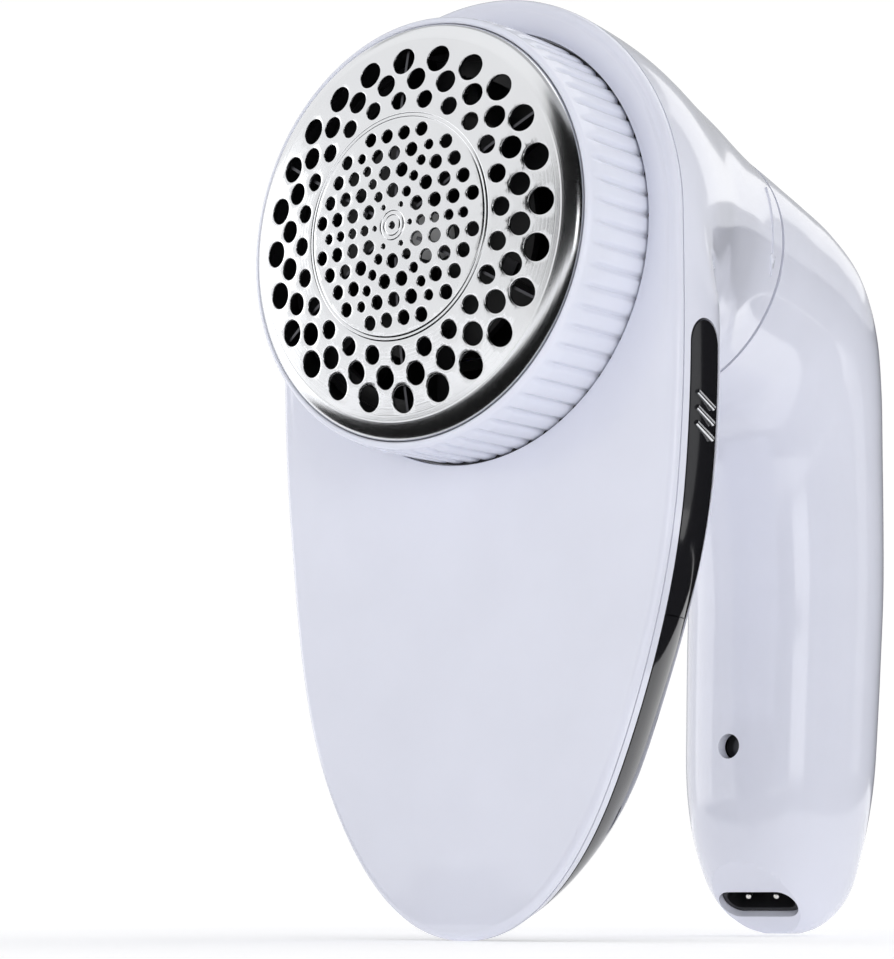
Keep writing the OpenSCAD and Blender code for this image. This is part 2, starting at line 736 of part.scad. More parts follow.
module socket_pins() {
    color(BRASS) port() for (x = [-2.6, 2.6]) translate([x, 0, -6.8]) union() {
        cylinder(r = 0.92, h = 1.4);
        cylinder(r = 0.6, h = 4.8);
        translate([0, 0, 4.8]) sphere(r = 0.6);
    }
}

front_shell();
rear_shell();
lint_bin();
side_trims();
bin_bars();
bin_seal();
cutter_cup();
collar();
foil_guard();
guard_ring();
blade_disc();
leaf_blades();
blade_hub();
blade_spring();
motor_can();
motor_cap();
motor_shaft();
motor_rotor();
motor_tabs();
motor_screws();
cup_screws();
safety_switch();
safety_pin();
swivel_axle();
swivel_washer();
swivel_clip();
handle_shell();
handle_cover();
cover_screws();
battery_cell();
battery_cradle();
battery_tabs();
circuit_board();
board_parts();
power_button();
status_lens();
socket_body();
socket_pins();
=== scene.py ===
import json
import math

import bmesh
import bpy
import numpy as np
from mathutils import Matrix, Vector
from mathutils.geometry import delaunay_2d_cdt


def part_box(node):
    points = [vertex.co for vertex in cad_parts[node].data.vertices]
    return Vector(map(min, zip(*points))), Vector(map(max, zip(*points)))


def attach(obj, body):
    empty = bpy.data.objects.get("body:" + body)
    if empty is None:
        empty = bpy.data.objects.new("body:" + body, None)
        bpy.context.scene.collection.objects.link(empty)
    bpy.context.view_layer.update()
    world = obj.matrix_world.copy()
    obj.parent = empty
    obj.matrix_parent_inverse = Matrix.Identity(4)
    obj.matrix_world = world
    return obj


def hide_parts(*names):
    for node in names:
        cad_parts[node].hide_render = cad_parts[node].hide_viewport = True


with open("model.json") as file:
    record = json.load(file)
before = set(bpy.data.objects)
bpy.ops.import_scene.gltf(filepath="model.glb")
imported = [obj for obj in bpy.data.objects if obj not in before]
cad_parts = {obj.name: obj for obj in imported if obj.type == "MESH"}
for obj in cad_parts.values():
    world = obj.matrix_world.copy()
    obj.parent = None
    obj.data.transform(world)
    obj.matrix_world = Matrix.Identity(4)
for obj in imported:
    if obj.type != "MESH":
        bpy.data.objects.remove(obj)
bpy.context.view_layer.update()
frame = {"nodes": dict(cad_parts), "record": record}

# ---------------------------------------------------------------------------
# Dimensions of the shaver, in millimetres. Depths are measured back from the
# outermost row of foil holes, heights from the ground.
# ---------------------------------------------------------------------------
MM = 0.001
FOIL_Z = 97.4
FOIL_DOME = 2.43
ROW_RADIUS = 24.0
FOIL_RADIUS = 29.4
FOIL_WALL = 0.4
FOIL_CROWN = 119.73              # radius of the domed face
FOIL_ROLL, FOIL_FALL = 2.6, 1.9  # rolled edge: its width, and how far it drops
FOIL_FLAT = FOIL_RADIUS - FOIL_ROLL
ENGRAVED = (1.45, 2.08, 15.51, 16.03)
COLLAR_RADIUS = 30.9
COLLAR_RIBS = 66
FACE_Y = 14.4
PANEL_BACK = 17.2
SEAM_Y = 15.65
RIM_Y = 15.8
BODY_HALF = 36.1
TONGUE_TOP = 88.0
BODY_BACK = 30.0
REAR_EDGE = 43.0
WALL = 1.9
# Corner of the body's side to its back: beside the inlays, below them, above them.
SIDE_CORNER, SIDE_ROUND, SIDE_TOP = 7.6, 9.5, 17.0
# Heights between which the sides become straight, and round again.
STRAIGHT = (24, 68, 82, 106)
# The lower end comes forward: by how much, from which height down, over what height.
LEAN, LEAN_TOP, LEAN_SPAN = 2.2, 60.0, 40.0
SEAM = (63.5, 102.5)             # depth and height of the middle of the swivel seam
STRIP = (17.5, 24.5, 79.5)       # side inlay: front edge, back edge, middle of its round top
COVER = (107.0, 30.0, 84.0)      # rear cover of the grip: depth, lower edge, upper edge
COVER_SCREW = 3.4                # from the cover's ends to its screws
BUTTON_Z = 66.0
LENS_Z = 29.4
PORT = (86.6, 4.9)               # depth and height of the middle of the charging port
SHIFT_Y = -FOIL_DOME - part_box("foil_guard")[0].y / MM


def lean(z):
    """How far the lower end of the body comes forward at a height."""
    t = np.clip((LEAN_TOP - np.asarray(z, float)) / LEAN_SPAN, 0, 1)
    return LEAN * t * t * (3 - 2 * t)


def place(points):
    """Millimetres measured from the hole row to metres in the row frame."""
    p = np.array(points, float)
    p[..., 1] -= SHIFT_Y
    return p * MM


# ---------------------------------------------------------------------------
# Mesh helpers
# ---------------------------------------------------------------------------
def new_object(name, verts, faces, smooth=True):
    mesh = bpy.data.meshes.new(name)
    mesh.from_pydata([tuple(v) for v in verts], [], faces)
    mesh.validate()
    obj = bpy.data.objects.new(name, mesh)
    bpy.context.scene.collection.objects.link(obj)
    bm = bmesh.new()
    bm.from_mesh(mesh)
    bmesh.ops.recalc_face_normals(bm, faces=bm.faces)
    bm.to_mesh(mesh)
    bm.free()
    mesh.polygons.foreach_set("use_smooth", [smooth] * len(mesh.polygons))
    return obj


def skin(name, rows, close_rows=False):
    """Closed rings of points joined in order. rows: array of rows x ring x 3, in mm."""
    rows = np.asarray(rows, float)
    m, n = rows.shape[:2]
    verts = place(rows.reshape(-1, 3))
    faces = []
    for k in range(m if close_rows else m - 1):
        a, b = k * n, (k + 1) % m * n
        for j in range(n):
            i = (j + 1) % n
            faces.append((a + j, a + i, b + i, b + j))
    if not close_rows:
        faces.append(tuple(range(n))[::-1])
        faces.append(tuple((m - 1) * n + j for j in range(n)))
    return new_object(name, verts, faces)


def bake(obj):
    """Applies the object's modifiers."""
    graph = bpy.context.evaluated_depsgraph_get()
    mesh = bpy.data.meshes.new_from_object(obj.evaluated_get(graph), depsgraph=graph)
    old = obj.data
    obj.modifiers.clear()
    obj.data = mesh
    bpy.data.meshes.remove(old)
    return obj


def duplicate(obj, name):
    other = obj.copy()
    other.data = obj.data.copy()
    other.name = name
    bpy.context.scene.collection.objects.link(other)
    return other


def cut(obj, other, operation="DIFFERENCE"):
    """Boolean of the object with a tool, which is used up."""
    mod = obj.modifiers.new("cut", "BOOLEAN")
    mod.operation = operation
    mod.solver = "EXACT"
    mod.object = other
    bake(obj)
    bpy.data.objects.remove(other)


def shade(obj, angle=32):
    """Smooth shading that keeps edges sharper than the angle, with flat faces kept flat."""
    mesh = obj.data
    mesh.polygons.foreach_set("use_smooth", [True] * len(mesh.polygons))
    mesh.set_sharp_from_angle(angle=math.radians(angle))
    mod = obj.modifiers.new("weighted", "WEIGHTED_NORMAL")
    mod.keep_sharp = True
    return bake(obj)


def box_mm(low, high):
    (x0, y0, z0), (x1, y1, z1) = low, high
    pts = [(x, y, z) for x in (x0, x1) for y in (y0, y1) for z in (z0, z1)]
    faces = [(0, 1, 3, 2), (4, 6, 7, 5), (0, 4, 5, 1), (2, 3, 7, 6), (0, 2, 6, 4), (1, 5, 7, 3)]
    return new_object("tool", place(pts), faces, smooth=False)


def rod(p0, p1, radius, sides=64):
    """Closed cylinder between two points, in mm."""
    p0, p1 = Vector(p0), Vector(p1)
    axis = (p1 - p0).normalized()
    e1 = axis.orthogonal().normalized()
    e2 = axis.cross(e1)
    rings = [[p + radius * (math.cos(a) * e1 + math.sin(a) * e2)
              for a in np.linspace(0, 2 * math.pi, sides, endpoint=False)] for p in (p0, p1)]
    return skin("tool", rings)


def spline(values, count, knots=None):
    """Smooth curve of count points through the rows of values."""
    v = np.asarray(values, float)
    t = np.arange(len(v), dtype=float) if knots is None else np.asarray(knots, float)
    h = np.diff(t)[:, None]
    d = np.diff(v, axis=0) / h
    m = np.vstack([d[:1], (d[:-1] * h[1:] + d[1:] * h[:-1]) / (h[1:] + h[:-1]), d[-1:]])
    s = np.linspace(t[0], t[-1], count)
    k = np.clip(np.searchsorted(t, s, side="right") - 1, 0, len(t) - 2)
    u = ((s - t[k]) / (t[k + 1] - t[k]))[:, None]
    hk = (t[k + 1] - t[k])[:, None]
    return ((2 * u**3 - 3 * u**2 + 1) * v[k] + (u**3 - 2 * u**2 + u) * hk * m[k]
            + (-2 * u**3 + 3 * u**2) * v[k + 1] + (u**3 - u**2) * hk * m[k + 1])


def soften(path, reach):
    """Rounds the corners of a dense, evenly spaced path; its ends stay where they are."""
    step = np.linalg.norm(np.diff(path, axis=0), axis=1).mean()
    n = max(1, int(3 * reach / step))
    w = np.exp(-0.5 * (np.arange(-n, n + 1) * step / reach) ** 2)
    w /= w.sum()
    n = min(n, len(path) - 2)
    w = w[len(w) // 2 - n:len(w) // 2 + n + 1]
    w = w / w.sum()
    head = 2 * path[0] - path[n:0:-1]
    tail = 2 * path[-1] - path[-2:-n - 2:-1]
    full = np.vstack([head, path, tail])
    return np.stack([np.convolve(full[:, c], w, "valid") for c in range(path.shape[1])], axis=1)


def even(path, count):
    """The same path with evenly spaced points."""
    s = np.concatenate([[0], np.cumsum(np.linalg.norm(np.diff(path, axis=0), axis=1))])
    q = np.linspace(0, s[-1], count)
    return np.stack([np.interp(q, s, path[:, c]) for c in range(path.shape[1])], axis=1)


# ---------------------------------------------------------------------------
# Shape of the body
# ---------------------------------------------------------------------------
def tongue_half(z):
    """Half width of the tongue at a height: a superellipse."""
    power = 2.15
    t = np.clip((TONGUE_TOP - np.asarray(z, float)) / TONGUE_TOP, 0, 1)
    return BODY_HALF * np.power(1 - np.power(t, power), 1 / power)


def outline(count, inset=0.0):
    """Evenly spaced outline of the body seen from the front: x and z, starting at the right."""
    a = np.linspace(0, math.pi, 400)
    arc = np.stack([BODY_HALF * np.cos(a), FOIL_Z + BODY_HALF * np.sin(a)], axis=1)
    z = TONGUE_TOP * (1 - np.sin(np.linspace(0, math.pi / 2, 600)))
    left = np.stack([-tongue_half(z), z], axis=1)
    path = np.vstack([arc, left, left[::-1][1:] * (-1, 1), arc[:1]])
    path = even(path, 4 * count + 1)[:-1]
    if inset:
        ahead, back = np.roll(path, -1, 0), np.roll(path, 1, 0)
        t = ahead - back
        t /= np.linalg.norm(t, axis=1)[:, None]
        path = path + inset * np.stack([-t[:, 1], t[:, 0]], axis=1)
    return path[::4]


def edge_distance(points, line):
    """Distance from each (x, z) point to a closed outline."""
    a, b = line, np.roll(line, -1, 0)
    ab = b - a
    p = points[:, None, :]
    t = np.clip(((p - a) * ab).sum(2) / (ab * ab).sum(1), 0, 1)
    return np.linalg.norm(p - (a + t[..., None] * ab), axis=2).min(1)


# Neck of the rear housing: depth, height of the centre, radius, tilt in degrees.
NECK = [(RIM_Y, FOIL_Z, 36.1, 0), (20, 97.6, 35.6, 0), (26, 98.6, 34.0, 0.5), (34, 100.4, 30.8, 2),
        (42, 102.0, 27.4, 4), (49, 102.9, 25.0, 6), (55, 103.1, 23.1, 8), (59.5, 102.9, 22.0, 9.5),
        (SEAM[0], SEAM[1], 21.3, 10)]


def back_depth(z):
    """Depth of the body's back at a height: it runs out towards the lower end."""
    top, low = 24, PANEL_BACK + 1.2
    t = np.clip(np.asarray(z, float) / top, 0, 1)
    rise = np.power(np.sin(t * math.pi / 2), 0.75)
    return np.where(z > top, BODY_BACK, low + (BODY_BACK - low) * rise)


def neck_rows():
    return spline(NECK, 160, knots=[row[0] for row in NECK])


def body_skin(name, inset=0.0, front=RIM_Y, around=288, along=88, end=0.0):
    """The outside behind the front panel, from its rim to the swivel seam, as a closed solid.

    Each line of it starts at the rim, goes round the side onto the back of the body, and leaves the
    back where it meets the neck.
    """
    rim = outline(around, inset)
    neck = neck_rows()
    neck[:, 2] -= inset
    neck = neck[neck[:, 0] <= SEAM[0] - end]
    rows = []
    for x, z in rim:
        ray = np.array([x, z - FOIL_Z])
        rho0 = np.linalg.norm(ray)
        ray /= rho0
        a = math.atan2(ray[1], ray[0])
        tilt = np.radians(neck[:, 3])
        ring = np.stack([neck[:, 2] * math.cos(a),
                         neck[:, 0] + neck[:, 2] * math.sin(a) * np.sin(tilt),
                         neck[:, 1] + neck[:, 2] * math.sin(a) * np.cos(tilt)], axis=1)
        ring_rho = np.hypot(ring[:, 0], ring[:, 2] - FOIL_Z)
        rho = rho0 * (1 - np.linspace(0, 1, 200) ** 2)
        rho = rho[rho > 20]
        flat = np.stack([ray[0] * rho, FOIL_Z + ray[1] * rho], axis=1)
        dist = edge_distance(flat, rim)
        depth = back_depth(flat[:, 1]) - inset
        # Straight sides where the inlays sit; above and below them the side turns in from the rim.
        z0, z1, z2, z3 = STRAIGHT
        up = np.clip(np.stack([(z - z0) / (z1 - z0), (z3 - z) / (z3 - z2)]), 0, 1)
        straight = (up * up * (3 - 2 * up)).prod(0)
        wide = SIDE_TOP if z > TONGUE_TOP else SIDE_ROUND
        corner = SIDE_CORNER + (wide - SIDE_CORNER) * (1 - straight)
        flank = straight * np.maximum(depth - front - SIDE_CORNER, 0)
        u = np.clip(dist / corner, 0, 1)
        y = front + flank + (depth - front - flank) * np.sqrt(1 - (1 - u) ** 2)
        inside = rho <= np.interp(y, ring[:, 1], ring_rho)
        stop = int(np.argmax(inside)) if inside.any() else len(rho)
        body = np.stack([flat[:stop, 0], y[:stop], flat[:stop, 1]], axis=1)
        if stop:
            side = np.repeat(body[:1], 23, axis=0)
            side[:, 1] = np.linspace(front, body[0, 1], 24)[:-1]
            body = np.vstack([side, body])
        y_join = y[stop] if stop < len(y) else y[-1]
        first = int(np.searchsorted(ring[:, 1], y_join + 0.2))
        path = np.vstack([body, ring[max(first, 1):]]) if stop > 1 else ring
        path[0] = (x, front, z)
        path = even(path, 260)
        path = soften(path, 2.0)
        path[0] = (x, front, z)
        rows.append(even(path, along))
    return skin(name, np.swapaxes(np.array(rows), 0, 1))


def drawer(inset, low, high, front):
    """Straight upright block with rounded rear corners: the part of the bin inside the housing."""
    w = float(tongue_half(REAR_EDGE)) - inset
    b, r = BODY_BACK - inset, max(1.0, 8.0 - inset)
    corner = [(w - r + r * math.cos(a), b - r + r * math.sin(a))
              for a in np.linspace(0, math.pi / 2, 12)]
    ring = [(w, front)] + corner + [(-x, y) for x, y in corner[::-1]] + [(-w, front)]
    return skin("tool", [[(x, y, z) for x, y in ring] for z in (low, high)])


def window(grow, low):
    """Pill-shaped bar across the whole width, round the side inlays."""
    y0, y1, top = STRIP
    r, mid = (y1 - y0) / 2 + grow, (y0 + y1) / 2
    arc = [(mid + r * math.cos(a), top + r * math.sin(a)) for a in np.linspace(0, math.pi, 40)]
    loop = [(mid + r, low)] + arc + [(mid - r, low)]
    return skin("tool", [[(x, y, z) for y, z in loop] for x in (-60, 60)])


# ---------------------------------------------------------------------------
# Housing pieces
# ---------------------------------------------------------------------------
def front_panel():
    """Thin panel with a rounded edge, slightly crowned, with the bore for the collar."""
    n = 360
    bore, step = COLLAR_RADIUS + 0.35, 29.95
    rim = outline(n)
    ang = np.arctan2(rim[:, 1] - FOIL_Z, rim[:, 0])

    def circle(r, y):
        return np.stack([r * np.cos(ang), np.full(n, y), FOIL_Z + r * np.sin(ang)], axis=1)

    def line(inset, y):
        p = outline(n, inset)
        return np.stack([p[:, 0], np.full(n, y), p[:, 1]], axis=1)

    edge, depth, crown, seat = 1.2, 1.05, 0.28, 16.2
    rows = [circle(step, PANEL_BACK), line(2.6, PANEL_BACK), line(2.2, PANEL_BACK - 0.3)]
    rows += [line(2.2, SEAM_Y), line(0.2, SEAM_Y)]
    rows += [line(0.04, SEAM_Y - 0.05), line(0.0, SEAM_Y - 0.15)]
    for a in np.linspace(0, math.pi / 2, 12):
        rows.append(line(edge * (1 - math.cos(a)), FACE_Y + depth * (1 - math.sin(a))))
    outer, inner = rows[-1], circle(bore + 0.2, FACE_Y)
    for t in np.linspace(0, 1, 26)[1:]:
        p = outer * (1 - t) + inner * t
        p[:, 1] = FACE_Y - crown * math.sin(math.pi * min(1, t * 1.05)) ** 0.8 * min(1, 6 * t)
        rows.append(p)
    rows[-1][:, 1] = FACE_Y
    rows += [circle(bore + 0.06, FACE_Y + 0.05), circle(bore, FACE_Y + 0.2)]
    rows += [circle(bore, seat), circle(step, seat)]
    return skin("front_panel", rows, close_rows=True)


def housings():
    """Rear housing, side inlays and lint tray, all cut from the same outside."""
    master = body_skin("master")
    rear = duplicate(master, "rear_housing")
    cut(rear, body_skin("tool", inset=WALL, front=RIM_Y - 2, along=60, around=200, end=3.0))
    # Below its lower edge the rear housing is a narrow frame along the front panel.
    cut(rear, box_mm((-60, STRIP[0] - 0.2, -5), (60, 45, REAR_EDGE)))
    cut(rear, window(0.3, -5))
    trims = duplicate(master, "side_inlays")
    cut(trims, window(-0.02, REAR_EDGE + 0.02), "INTERSECT")
    inner = float(tongue_half(REAR_EDGE)) - 1.8
    cut(trims, box_mm((-inner, 0, 0), (inner, 60, 90)))
    tray = master
    tray.name = "lint_tray"
    cut(tray, box_mm((-60, 0, REAR_EDGE - 0.12), (60, 90, 160)))
    cut(tray, box_mm((-60, 0, -5), (60, STRIP[0], 60)))
    cut(tray, drawer(WALL + 0.4, REAR_EDGE - 4, 81.5, STRIP[0]), "UNION")
    cut(tray, drawer(WALL + 1.9, REAR_EDGE - 6, 79.9, STRIP[0] + 1.5))
    hollow = body_skin("hollow", inset=1.8, front=STRIP[0] + 1.5, along=60, around=200)
    cut(hollow, box_mm((-60, 0, REAR_EDGE - 3), (60, 90, 160)))
    cut(hollow, box_mm((-60, 0, -5), (60, 90, 6)))
    cut(tray, hollow)
    cut(tray, box_mm((-13, STRIP[0] - 1, FOIL_Z - 24), (13, STRIP[0] + 3, FOIL_Z - 17.2)))
    return rear, trims, tray


# ---------------------------------------------------------------------------
# Handle
# ---------------------------------------------------------------------------
# Side view of the handle: inner point, outer point (depth, height) and half width.
HANDLE = [
    (60.5, 81.5, 67.7, 123.4, 21.3), (64.9, 81.3, 72.2, 122.5, 20.7),
    (69.8, 81.1, 77.3, 121.3, 20.1), (73.8, 80.6, 84.6, 119.7, 19.3),
    (76.5, 79.2, 94.3, 117.2, 18.5), (78.0, 76.7, 103.6, 112.6, 17.9),
    (78.8, 73.3, 109.2, 104.6, 17.4), (79.3, 69.0, 111.5, 94.0, 16.9),
    (79.8, 64.0, 112.1, 80.5, 16.4), (80.2, 59.0, 112.2, 67.5, 16.1),
    (80.4, 54.0, 112.0, 55.0, 15.8), (79.7, 44.0, 110.9, 44.0, 15.6),
    (79.1, 34.3, 109.8, 34.3, 15.35), (78.6, 25.0, 108.6, 25.0, 15.0),
    (78.9, 18.0, 107.2, 18.0, 14.15), (79.9, 12.5, 105.8, 12.5, 12.95),
    (81.5, 8.0, 104.6, 8.0, 11.55), (83.3, 5.0, 103.1, 5.0, 9.9),
    (85.3, 2.9, 101.3, 2.9, 8.0), (88.0, 1.2, 98.9, 1.2, 5.45), (90.6, 0.35, 96.4, 0.35, 2.9)]


def handle_skin(name, inset=0.0, start=0, around=120, along=170):
    """The handle as a closed solid of elliptical sections, from one row of the table on."""
    rows = []
    for yi, zi, yo, zo, half in spline(HANDLE[start:], along):
        centre = np.array([(yi + yo) / 2, (zi + zo) / 2])
        up = np.array([yo, zo]) - centre
        reach = np.linalg.norm(up)
        up /= reach
        a = np.linspace(0, 2 * math.pi, around, endpoint=False)
        r, h = max(reach - inset, 0.2), max(half - inset, 0.2)
        yz = centre + np.cos(a)[:, None] * r * up
        rows.append(np.stack([h * np.sin(a), yz[:, 0], yz[:, 1]], axis=1))
    return skin(name, rows)


def port_prism(loop, low, high):
    """Prism on the charging port's axis, which slopes down and forward at 45 degrees."""
    s = math.sqrt(0.5)
    return skin("tool", [[(x, PORT[0] - s * y - s * t, PORT[1] + s * y - s * t) for x, y in loop]
                         for t in (low, high)])


def port_bar(width, height, low, high):
    """Obround bar along the axis of the charging port, between two depths along it."""
    r, d = height / 2, (width - height) / 2
    loop = [(d + r * math.cos(a), r * math.sin(a))
            for a in np.linspace(-math.pi / 2, math.pi / 2, 24)]
    loop += [(-x, y) for x, y in loop[::-1]]
    return port_prism(loop, low, high)


def handles():
    """Handle shell and the cover in its rear."""
    shell = handle_skin("handle_body")
    cut(shell, handle_skin("tool", inset=WALL, start=1, around=72, along=90))
    y0, z0, z1 = COVER
    cover = duplicate(shell, "grip_cover")
    cut(cover, box_mm((-30, y0 + 0.12, z0 + 0.12), (30, y0 + 20, z1 - 0.12)), "INTERSECT")
    cut(cover, rod((0, y0 - 3, BUTTON_Z), (0, y0 + 9, BUTTON_Z), 5.3))
    for z in (z0 + COVER_SCREW, z1 - COVER_SCREW):
        cut(cover, rod((0, y0 - 3, z), (0, y0 + 12, z), 1.95, 40))
    cut(shell, box_mm((-30, y0, z0), (30, y0 + 20, z1)))
    # Solid end round the charging port.
    plug = handle_skin("tool", inset=0.6, start=14, around=72, along=40)
    cut(shell, plug, "UNION")
    cut(shell, port_prism(((-30, -30), (30, -30), (30, 30), (-30, 30)), 0, 30))
    cut(shell, box_mm((-40, 60, -20), (40, 130, 0)))
    cut(shell, port_bar(14.2, 5.4, -7, 2))
    cut(shell, rod((0, 70, LENS_Z), (0, 86, LENS_Z), 1.95, 48))
    return shell, cover


# ---------------------------------------------------------------------------
# Collar and foil
# ---------------------------------------------------------------------------
def collar_ring():
    """Guard collar: smooth band in front, then fine ribs running straight back."""
    n = COLLAR_RIBS * 16
    a = np.linspace(0, 2 * math.pi, n, endpoint=False)
    r0, y0, y1 = COLLAR_RADIUS, 2.2, 15.6
    # Pads with a narrow groove between them.
    cell = COLLAR_RIBS * a / (2 * math.pi) % 1.0
    pad = 1 - np.exp(-((np.minimum(cell, 1 - cell) / 0.13) ** 2))
    pad = pad * (1 - 0.35 * (2 * np.abs(cell - 0.5)) ** 2)
    rows = []

    def ring(r, y):
        rows.append(np.stack([r * np.cos(a), np.full(n, y), FOIL_Z + r * np.sin(a)], axis=1))

    ring(29.95, y1)
    ring(29.75, 8.0)
    ring(29.48, 6.0)
    ring(29.48, y0 + 0.5)
    for b in np.linspace(0.2, math.pi / 2, 5):
        ring(29.48 + 0.3 * (1 - math.cos(b)), y0 + 0.3 * (1 - math.sin(b)))
    for b in np.linspace(0, math.pi / 2, 7):
        ring(r0 - 1.15 + 0.75 * math.sin(b), y0 + 0.75 * (1 - math.cos(b)))
    for y in (*np.linspace(y0 + 0.9, y0 + 3.6, 16), *np.linspace(y0 + 4.0, y1 - 0.5, 14)):
        t = np.clip((y - y0 - 0.8) / 2.6, 0, 1)
        rise = 0.38 * (t * t * (3 - 2 * t) * 0.8 + 0.2 * min(1, 4 * t))
        ring(r0 - 0.38 + rise * pad - 0.18 * t * (1 - pad), y)
    ring(r0 - 0.38 + 0.34 * pad, y1 - 0.1)
    ring(r0 - 0.6, y1)
    return skin("guard_collar", rows, close_rows=True)


def hole_list():
    """Foil holes as (radius from the middle, angle, hole radius)."""
    holes = []
    for k in range(24):
        a = math.radians(15 * k)
        holes += [(ROW_RADIUS, a, 1.86), (21.02, a + math.radians(7.5), 1.55), (18.05, a, 1.27)]
    holes.append((0.0, 0.0, 0.5))
    for k in range(6):
        a = math.radians(60 * k)
        holes.append((3.17, a, 0.35))
        holes += [(5.1 + 2.37 * n, a, 0.7) for n in range(4)]
        for n in range(4):
            for j in range(n + 1):
                out, side = 5.0 + 2.69 * n, 3.09 * (j - n / 2)
                turn = a + math.radians(30) + math.atan2(side, out)
                holes.append((math.hypot(out, side), turn, 0.98))
    return holes


def foil_plate():
    """Domed foil with rimmed holes and two pairs of engraved circles."""
    crown, limit = FOIL_CROWN, FOIL_FLAT

    def level(x, y):
        r = np.hypot(x, y)
        z = np.sqrt(crown ** 2 - r ** 2) - crown + FOIL_DOME
        for g in ENGRAVED:
            z = z - 0.10 * np.exp(-(((r - g) / 0.09) ** 2))
        return z

    holes = hole_list()
    centres = np.array([(d * math.cos(a), d * math.sin(a)) for d, a, _ in holes])
    radii = np.array([r for _, _, r in holes])
    pts, edges, dip = [], [], []

    def loop(cx, cy, r, n, low):
        k = len(pts)
        for j in range(n):
            b = 2 * math.pi * j / n
            pts.append((cx + r * math.cos(b), cy + r * math.sin(b)))
            dip.append(low)
        edges.extend((k + j, k + (j + 1) % n) for j in range(n))

    n = 44
    for (cx, cy), r in zip(centres, radii):
        loop(cx, cy, r, n, 0.12)
        loop(cx, cy, r + 0.06, n, 0.03)
        loop(cx, cy, r + 0.14, n, 0.0)
    for g in ENGRAVED:
        large = g > 3
        for off in (-0.2, -0.09, 0.0, 0.09, 0.2) if large else (-0.14, 0.0, 0.14):
            loop(0, 0, g + off, 240 if large else 60, 0.0)
    for r in np.linspace(limit - 0.7, limit, 3):
        loop(0, 0, r, 240, 0.0)
    step = 0.75
    for i in range(-40, 41):
        for j in range(-46, 47):
            x, y = step * (i + 0.5 * (j % 2)), step * 0.866 * j
            r = math.hypot(x, y)
            if r > limit - 0.9 or abs(r - (ENGRAVED[2] + ENGRAVED[3]) / 2) < 0.7:
                continue
            if (np.hypot(centres[:, 0] - x, centres[:, 1] - y) < radii + 0.4).any():
                continue
            pts.append((x, y))
            dip.append(0.0)
    out = delaunay_2d_cdt([Vector(p) for p in pts], edges, [], 0, 1e-5)
    xy = np.array([tuple(v) for v in out[0]])
    origin = [o[0] if o else -1 for o in out[3]]
    low = np.array([dip[o] if o >= 0 else 0.0 for o in origin])
    tris = []
    for f in out[2]:
        c = xy[list(f)].mean(0)
        if math.hypot(*c) > limit or (np.hypot(*(centres - c).T) < radii - 0.01).any():
            continue
        tris.append(tuple(f))
    # Drop what is left unused inside the holes.
    used = sorted({v for f in tris for v in f})
    index = {v: k for k, v in enumerate(used)}
    xy, low = xy[used], low[used]
    tris = [tuple(index[v] for v in f) for f in tris]
    n = len(xy)
    top = level(xy[:, 0], xy[:, 1]) - low
    under = np.sqrt((crown - FOIL_WALL) ** 2 - (xy ** 2).sum(1)) - crown + FOIL_DOME
    verts = [(x, -z, FOIL_Z + y) for (x, y), z in zip(xy, top)]
    verts += [(x, -z, FOIL_Z + y) for (x, y), z in zip(xy, under)]
    faces = tris + [tuple(n + v for v in f[::-1]) for f in tris]
    sides = {(a, b): 1 for f in tris for a, b in zip(f, f[1:] + f[:1])}
    faces += [(b, a, n + a, n + b) for a, b in sides if (b, a) not in sides]
    return shade(new_object("foil_plate", place(verts), faces), 40)


def foil_edge():
    """Rolled chrome edge and skirt of the foil, as one turned ring."""
    crown, limit, skirt = FOIL_CROWN, FOIL_FLAT, 8.2
    rim_z = math.sqrt(crown ** 2 - limit ** 2) - crown + FOIL_DOME
    prof = [(limit - 0.02, rim_z - 0.012)]
    tilt = math.asin(limit / crown)
    for b in np.linspace(tilt, math.pi / 2, 18):
        u = (b - tilt) / (math.pi / 2 - tilt)
        out = FOIL_ROLL * math.sin(u * math.pi / 2)
        prof.append((limit + out, rim_z - FOIL_FALL * (1 - math.cos(u * math.pi / 2))
                     - math.tan(tilt) * out * (1 - u)))
    lip = prof[-1][1]
    prof += [(FOIL_RADIUS, lip - 0.3), (FOIL_RADIUS, -skirt), (FOIL_RADIUS - FOIL_WALL, -skirt),
             (FOIL_RADIUS - FOIL_WALL, lip), (limit - 0.1, rim_z - 0.5), (limit - 0.3, rim_z - 0.4),
             (limit - 0.3, rim_z - 0.06)]
    a = np.linspace(0, 2 * math.pi, 288, endpoint=False)
    rows = [np.stack([r * np.cos(a), np.full(len(a), -z), FOIL_Z + r * np.sin(a)], axis=1)
            for r, z in prof]
    return shade(skin("foil_edge", rows, close_rows=True), 50)


